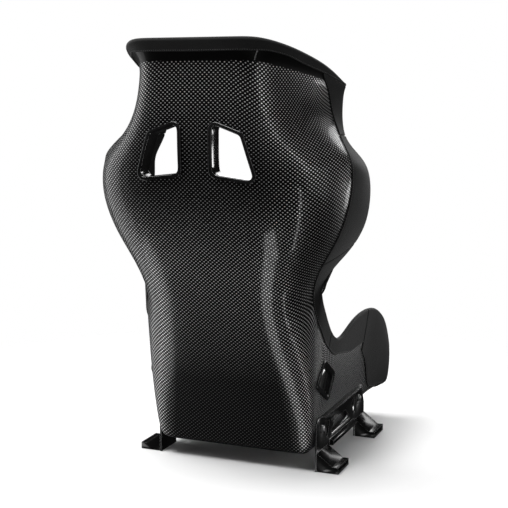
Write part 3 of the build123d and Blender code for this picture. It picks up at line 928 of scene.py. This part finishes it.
for kind, outline, radius, axes, start, inset, front, parts in (
        ("shoulder", SHOULDER, 17, XZ, (.58, .78), 8.5, SHOULDER_FRONT, ("rear", "front")),
        ("lap", LAP, 12, YZ, (.92, .32), 10, WALL, ("outer", "inner"))):
    both = bezel_set([f"{kind}_frame_{part}_l" for part in parts], outline, radius, axes, start,
                     inset, front)
    for piece, part in zip(both, parts):
        finish_pair(piece, MOULDED, f"{kind}_bezel_{part}")
both = bezel_set(("crotch_frame_lower", "crotch_frame_upper"),
                 CROTCH, 16, XY, (.5, .19), 9, CROTCH_FRONT)
for piece, part in zip(both, ("lower", "upper")):
    finish_piece(piece, MOULDED, ["crotch_bezel_" + part])


# ---- brackets, feet, fasteners
def soften(node, material, width):
    """CAD piece kept, with its sharp edges broken by a small bevel."""
    obj = paint(node, material)
    weld = obj.modifiers.new("weld", "WELD")
    weld.merge_threshold = 0.00002
    give(obj.modifiers.new("bevel", "BEVEL"), width=width, segments=2, limit_method="ANGLE",
         angle_limit=math.radians(30.0), harden_normals=True, use_clamp_overlap=True)
    shade_smooth(obj.data)
    return obj


HARDWARE = (
    ("bracket", POWDER, 0.0009),
    ("foot_rear", POWDER, 0.0008),
    ("foot_front", POWDER, 0.0008),
    ("shell_bolts", ZINC, 0.0003),
    ("bolt_washers", ZINC, 0.0003),
    ("shell_spacers", ALLOY, 0.0004),
    ("nut_plates", ZINC, 0.0004),
)
for side in ("_l", "_r"):
    for name, material, width in HARDWARE:
        soften(name + side, material, width)
for node in NODES:
    if node.startswith("tape_"):
        paint(node, TAPE)


# ---- cushions
def inside(line, points):
    """True for the 2-D points inside a closed line."""
    hit = np.zeros(len(points), bool)
    x, y = points[:, 0], points[:, 1]
    for i in range(len(line)):
        x0, y0 = line[i - 1]
        x1, y1 = line[i]
        crosses = (y0 > y) != (y1 > y)
        with np.errstate(divide="ignore", invalid="ignore"):
            edge_x = (x1 - x0) * (y - y0) / (y1 - y0) + x0
        hit ^= crosses & (x < edge_x)
    return hit


def line_gap(line, points):
    """Distance from 2-D points to a closed line."""
    best = np.full(len(points), 1e9)
    for i in range(len(line)):
        a, b = line[i - 1], line[i]
        ab = b - a
        t = np.clip(((points - a) @ ab) / (ab @ ab), 0, 1)
        best = np.minimum(best, norm(points - (a + t[:, None] * ab), axis=-1))
    return best


def inflate(obj, pinned, pressure, frames, cap):
    """Cloth pressure on a closed cover whose back is held, then its result kept."""
    start = place_of(obj)
    group = obj.vertex_groups.new(name="held")
    group.add([int(i) for i in np.nonzero(pinned)[0]], 1.0, "REPLACE")
    cloth = obj.modifiers.new("cloth", "CLOTH")
    give(cloth.settings, quality=5, mass=0.25, use_pressure=True,
         uniform_pressure_force=pressure, tension_stiffness=18, compression_stiffness=12,
         shear_stiffness=6, bending_stiffness=0.6, vertex_group_mass="held")
    cloth.settings.effector_weights.gravity = 0.0
    give(cloth.collision_settings, use_collision=False, use_self_collision=False)
    give(cloth.point_cache, frame_start=1, frame_end=frames)
    for number in range(1, frames + 1):
        scene.frame_set(number)
    shape = obj.evaluated_get(bpy.context.evaluated_depsgraph_get())
    moved = place_of(shape) - start
    obj.modifiers.remove(cloth)
    obj.vertex_groups.clear()
    scene.frame_set(1)
    reach = norm(moved, axis=-1, keepdims=True)
    moved = moved * np.minimum(1, cap / np.maximum(reach, 1e-9))
    return start, moved


def border(grid):
    """Values round the edge of a grid."""
    return np.concatenate([grid[0, :], grid[1:, -1], grid[-1, -2::-1], grid[-2:0:-1, 0]])


def line_length(points):
    return norm(np.diff(points, axis=0), axis=-1).sum()


PRESSURE = 4.0  # pressure inside a cover while it swells
UNDER_ROUND = 6.0  # radius of a cushion's edge on its back, mm
CHANNEL_WIDTH = 5.0  # half width of a sewn channel, mm
PULL = 0.018  # how far a cushion's sides draw in between the corners
FREE_EDGE = 30.0  # distance from an opening over which the swelling sets in, mm


def cushion(name, limits, thick, side_round=22.0, channels=(), hole=None, edge=7.0, cap=9.0,
            flat_near=0.0):
    """Sewn cushion over a part of the shell. channels are ("s" or "t", place, depth, low, high)."""
    u0, u1, v0, v1 = limits
    wide = line_length(at(np.linspace(u0, u1, 60), (v0 + v1) / 2, SEAT_FACE))
    tall = line_length(at((u0 + u1) / 2, np.linspace(v0, v1, 60), SEAT_FACE))
    cell = 6.0
    nu, nv = max(8, int(wide / cell)), max(8, int(tall / cell))
    s, t = np.meshgrid(np.linspace(0, 1, nu + 1), np.linspace(0, 1, nv + 1))
    # sides pull in between the corners, and the corners are drawn round
    a, b = 2 * s - 1, 2 * t - 1
    corner = 1 - 0.03 * (a * b) ** 2
    wa = a * (1 - PULL * (1 - b ** 2)) * corner
    wb = b * (1 - PULL * (1 - a ** 2)) * corner
    u, v = u0 + (u1 - u0) * (wa + 1) / 2, v0 + (v1 - v0) * (wb + 1) / 2
    edge_s = np.minimum(s, 1 - s) * wide
    edge_t = np.minimum(t, 1 - t) * tall
    rise = quarter(edge_s, side_round) * quarter(edge_t, side_round)
    under = quarter(edge_s, UNDER_ROUND) * quarter(edge_t, UNDER_ROUND)
    seam = SEAT_FACE + edge * .5
    crown = 1 + 0.05 * np.cos(a * math.pi / 2) * np.cos(b * math.pi / 2)
    top = at(u, v, seam + (SEAT_FACE + thick * .93 - seam) * rise * crown).reshape(-1, 3)
    bottom = at(u, v, seam - (seam - SEAT_FACE) * under).reshape(-1, 3)
    on_edge = ((s == 0) | (s == 1) | (t == 0) | (t == 1)).ravel()
    count = len(top)
    lower = np.where(on_edge, np.arange(count), 0)
    free = np.nonzero(~on_edge)[0]
    lower[free] = count + np.arange(len(free))
    points = np.vstack([top, bottom[free]])
    quads = np.array(grid_faces(nv + 1, nu + 1))
    kept = np.ones(len(quads), bool)
    if hole is not None:
        line, axes = hole
        plane = on_shell(u, v).reshape(-1, 3)[:, axes]
        kept = ~inside(line, plane[quads].mean(1))
    faces = [tuple(q) for q in quads[kept]]
    faces += [tuple(lower[q][::-1]) for q in quads[kept]]
    if hole is not None:
        # walls round the opening
        edges = dict.fromkeys((int(q[k]), int(q[k - 3])) for q in quads[kept] for k in range(4))
        rim = set()
        for p, q in edges:
            if (q, p) not in edges and not (on_edge[p] and on_edge[q]):
                faces.append((q, p, int(lower[p]), int(lower[q])))
                rim.update((p, q))
        # the opening's points move onto its line
        rim = np.array(sorted(rim))
        flat = plane[rim]
        dense = fill_line(line, 0.5)
        for index, spot in zip(rim, flat):
            goal = dense[np.argmin(((dense - spot) ** 2).sum(-1))]
            shift = np.zeros(3)
            shift[axes] = goal - spot
            points[index] += shift
            points[lower[index]] += shift
    used = np.unique(np.concatenate([np.array(f) for f in faces]))
    remap = -np.ones(len(points), int)
    remap[used] = np.arange(len(used))
    faces = [tuple(remap[list(f)]) for f in faces]
    held = np.zeros(len(points), bool)
    held[count:] = True
    held[:count][on_edge] = True
    if hole is not None:
        held[rim] = True
    obj = make_object(name, points[used], faces)
    held = held[used]
    start, moved = inflate(obj, held, PRESSURE, 18, cap)
    if hole is not None:
        gap = line_gap(line, start[:, axes])
        moved *= np.clip((gap - flat_near) / FREE_EDGE, 0, 1)[:, None]
    set_place(obj, start + moved)
    fix_normals(obj)
    subdivide = obj.modifiers.new("smooth", "SUBSURF")
    subdivide.levels = subdivide.render_levels = 1
    graph = bpy.context.evaluated_depsgraph_get()
    fine = bpy.data.meshes.new_from_object(obj.evaluated_get(graph))
    obj.modifiers.clear()
    obj.data = fine
    # sewn channels
    places = place_of(obj)
    pu, pv, depth = locate(places)
    ps, pt = (pu - u0) / (u1 - u0), (pv - v0) / (v1 - v0)
    face_side = np.clip((depth - seam) / 6.0, 0, 1)
    push = np.zeros(len(places))
    for axis, place, deep, low, high in channels:
        run, other = (ps, pt) if axis == "s" else (pt, ps)
        size = wide if axis == "s" else tall
        x = (run - place) * size
        ends = np.clip((other - low) / .05, 0, 1) * np.clip((high - other) / .05, 0, 1)
        push = np.maximum(push, deep * np.exp(-np.abs(x / CHANNEL_WIDTH) ** 1.6) * ends)
    # slight unevenness of the foam
    x, y, z = places.T
    push += 0.35 * np.sin(x / 17.0 + z / 23.0) * np.sin(y / 19.0 + 1.0)
    normal = inward(pu, pv)
    set_place(obj, places - normal * (push * face_side)[:, None])
    shade_smooth(obj.data)
    # the outer seam line, for the piping
    return obj, at(border(u), border(v), seam)


def piping(name, line, radius=1.5):
    """Round cord sewn along a closed seam line."""
    for _ in range(2):
        line = (np.roll(line, 1, 0) + 2 * line + np.roll(line, -1, 0)) / 4
    ahead = unit(np.roll(line, -1, 0) - np.roll(line, 1, 0))
    u, v, _ = locate(line)
    up = inward(u, v)
    side = unit(np.cross(ahead, up))
    up = np.cross(side, ahead)
    sides = 8
    ring = []
    for k in range(sides):
        a = 2 * math.pi * k / sides
        ring.append(line + side * math.cos(a) * radius + up * math.sin(a) * radius)
    return closed_rings(name, np.array(ring).transpose(1, 0, 2))


def shrink(outline, radius, inset):
    """Rounded outline of a slot, moved in by an inset."""
    line = fill_line(round_corners(outline, radius), 3.0)
    return line - outward_2d(line) * inset


SHOULDER_HOLE = shrink(SHOULDER, 17, 4.0)
CROTCH_HOLE = shrink(CROTCH, 16, 4.0)
LAP_HOLE = shrink(LAP, 12, -1.0)


def join_holes(first, second):
    """One line through both openings, joined by a doubled bridge of no width."""
    return np.vstack([first, first[:1], second, second[:1]])


BOTH_SLOTS = join_holes(SHOULDER_HOLE, SHOULDER_HOLE * np.array([-1, 1]))
# name, limits (u0, u1, v0, v1) on the shell, thickness in mm, other settings
CENTRE = [
    ("upper_back_cushion", (.262, .738, .602, .852), 24, dict(
        side_round=20, hole=(BOTH_SLOTS, XZ), flat_near=10, cap=6,
        channels=[("t", .24, 5, .03, .97), ("s", .24, 4, .24, .97), ("s", .76, 4, .24, .97)])),
    ("lumbar_cushion", (.275, .725, .400, .594), 32, dict(
        side_round=26, channels=[("t", .36, 6, .02, .98), ("t", .68, 6, .02, .98)])),
    ("head_cushion", (.27, .73, .862, .966), 28, dict(
        side_round=22, channels=[("s", .30, 4, .02, .98), ("s", .70, 4, .02, .98)])),
    ("seat_cushion", (.285, .715, .035, .285), 42, dict(
        side_round=30, edge=14.0, hole=(CROTCH_HOLE, XY), flat_near=12, cap=8,
        channels=[("s", .22, 6, .02, .98), ("s", .78, 6, .02, .98), ("t", .30, 6, .22, .78)])),
]
SIDES = [
    ("head_wing_pad", (.745, .975, .822, .962), 30, dict(channels=[("t", .5, 3, .02, .98)])),
    ("shoulder_pad", (.752, .915, .612, .735), 20, dict(side_round=18)),
    ("hip_pad", (.80, .975, .245, .392), 20, dict(
        side_round=15, hole=(LAP_HOLE, YZ), flat_near=0, cap=4)),
    ("rib_pad", (.745, .968, .405, .602), 26, dict(channels=[("t", .33, 4, .02, .98),
                                                            ("t", .66, 4, .02, .98)])),
    ("thigh_pad", (.80, .975, .015, .236), 24, dict(channels=[("t", .5, 4, .02, .98)])),
]
for name, limits, thick, extra in CENTRE:
    obj, line = cushion(name + "_soft", limits, thick, **extra)
    finish_piece(obj, KNIT, [name])
    finish_piece(piping(name + "_piping", line), SUEDE)
for name, limits, thick, extra in SIDES:
    obj, line = cushion(name + "_soft_l", limits, thick, **extra)
    for piece in finish_pair(obj, KNIT, name):
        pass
    finish_pair(piping(name + "_piping_l", line), SUEDE)


# ---- stage, lights, camera
def floor():
    """Pale floor disc that fades into the backdrop."""
    bpy.ops.mesh.primitive_circle_add(vertices=96, radius=4.0, fill_type="NGON",
                                      location=(0, 0, -0.0005))
    disc = bpy.context.object
    disc.name = "studio_floor"
    m = Nodes("pale_floor")
    place = m.node("ShaderNodeNewGeometry").outputs["Position"]
    length = m.node("ShaderNodeVectorMath", operation="LENGTH")
    m.put(length.inputs[0], place)
    tone = m.mix(m.spread(m.noise(3.0, 4.0), 0.3, 0.7), 0.80, 0.83)
    m.to("Base Color", tone)
    m.to("Roughness", m.ramp(m.noise(40.0), 0.55, 0.7))
    m.set(Specular_IOR_Level=0.2)
    clear = m.node("ShaderNodeBsdfTransparent")
    blend = m.node("ShaderNodeMixShader")
    m.put(blend.inputs[0], m.ramp(length.outputs["Value"], 0.0, 1.0, 0.45, 1.35))
    m.tree.links.new(m.shader.outputs[0], blend.inputs[1])
    m.tree.links.new(clear.outputs[0], blend.inputs[2])
    m.tree.links.new(blend.outputs[0], m.tree.nodes["Material Output"].inputs["Surface"])
    disc.data.materials.append(m.material)
    give(disc, visible_glossy=False, visible_diffuse=False, visible_shadow=False)


def aim(obj, place, ahead):
    """Object put at a place, looking along a vector."""
    obj.location = place
    obj.rotation_mode = "QUATERNION"
    obj.rotation_quaternion = ahead.to_track_quat("-Z", "Y")


def softbox(name, place, target, size, power, spread=180):
    light = bpy.data.lights.new(name, "AREA")
    give(light, shape="RECTANGLE", size=size[0], size_y=size[1], energy=power,
         spread=math.radians(spread))
    obj = link(bpy.data.objects.new(name, light))
    aim(obj, place, Vector(target) - Vector(place))
    obj.visible_camera = False


floor()
# name, place, target, size and power; a light under the floor stands in for its bounce
softbox("strip_far_side", (1.55, 0.35, 0.35), (0.15, 0.3, 0.35), (1.2, 3.0), 20)
softbox("strip_near_side", (-1.88, 0.92, 1.68), (-0.2, 0.37, 0.74), (0.10, 1.0), 5)
softbox("strip_low", (-0.79, 0.95, 0.0), (-0.2, 0.35, 0.6), (0.05, 0.94), 2.0)
softbox("overhead", (0.45, 0.8, 2.9), (0, 0.1, 0.3), (2.0, 2.0), 150)
softbox("front_fill", (0.4, -2.6, 1.5), (0, 0, 0.5), (2.0, 1.4), 30)
softbox("floor_glow", (1.0, 0.71, -0.56), (0.0, 0.34, 0.50), (0.5, 0.5), 3.0)
softbox("near_fill", (-2.4, 0.7, 0.8), (-0.2, 0.1, 0.4), (1.8, 1.8), 10)
softbox("near_front", (-1.6, -1.7, 0.25), (-0.2, -0.05, 0.18), (0.7, 0.7), 1.7, spread=50)
softbox("crease_glow", (-0.05, 1.30, -0.75), (-0.17, 0.2, 0.25), (0.35, 0.5), 4)

world = bpy.data.worlds.new("studio")
scene.world = world
world.use_nodes = True
nodes, links = world.node_tree.nodes, world.node_tree.links


def backdrop(strength):
    made = nodes.new("ShaderNodeBackground")
    made.inputs["Color"].default_value = (1, 1, 1, 1)
    made.inputs["Strength"].default_value = strength
    return made.outputs[0]


def either(factor, first, second):
    made = nodes.new("ShaderNodeMixShader")
    links.new(factor, made.inputs[0])
    links.new(first, made.inputs[1])
    links.new(second, made.inputs[2])
    return made.outputs[0]


# the white backdrop is bright, and adds only a little light and reflection of its own
paths = nodes.new("ShaderNodeLightPath")
dim = either(paths.outputs["Is Glossy Ray"], backdrop(0.06), backdrop(0.012))
links.new(either(paths.outputs["Is Camera Ray"], dim, backdrop(1.0)),
          nodes["World Output"].inputs["Surface"])
scene.view_settings.view_transform = "Standard"

CAMERA_PLACE = Vector((-1.010, 2.529, 0.873))
CAMERA_TURN = math.radians(202.37)
CAMERA_PITCH = math.radians(8.46)
camera_data = bpy.data.cameras.new("camera")
give(camera_data, lens=79.79, sensor_width=36.0, clip_start=0.05, clip_end=50)
camera = link(bpy.data.objects.new("camera", camera_data))
aim(camera, CAMERA_PLACE,
    Vector((-math.sin(CAMERA_TURN) * math.cos(CAMERA_PITCH),
            math.cos(CAMERA_TURN) * math.cos(CAMERA_PITCH), -math.sin(CAMERA_PITCH))))
scene.camera = camera

bpy.context.view_layer.update()
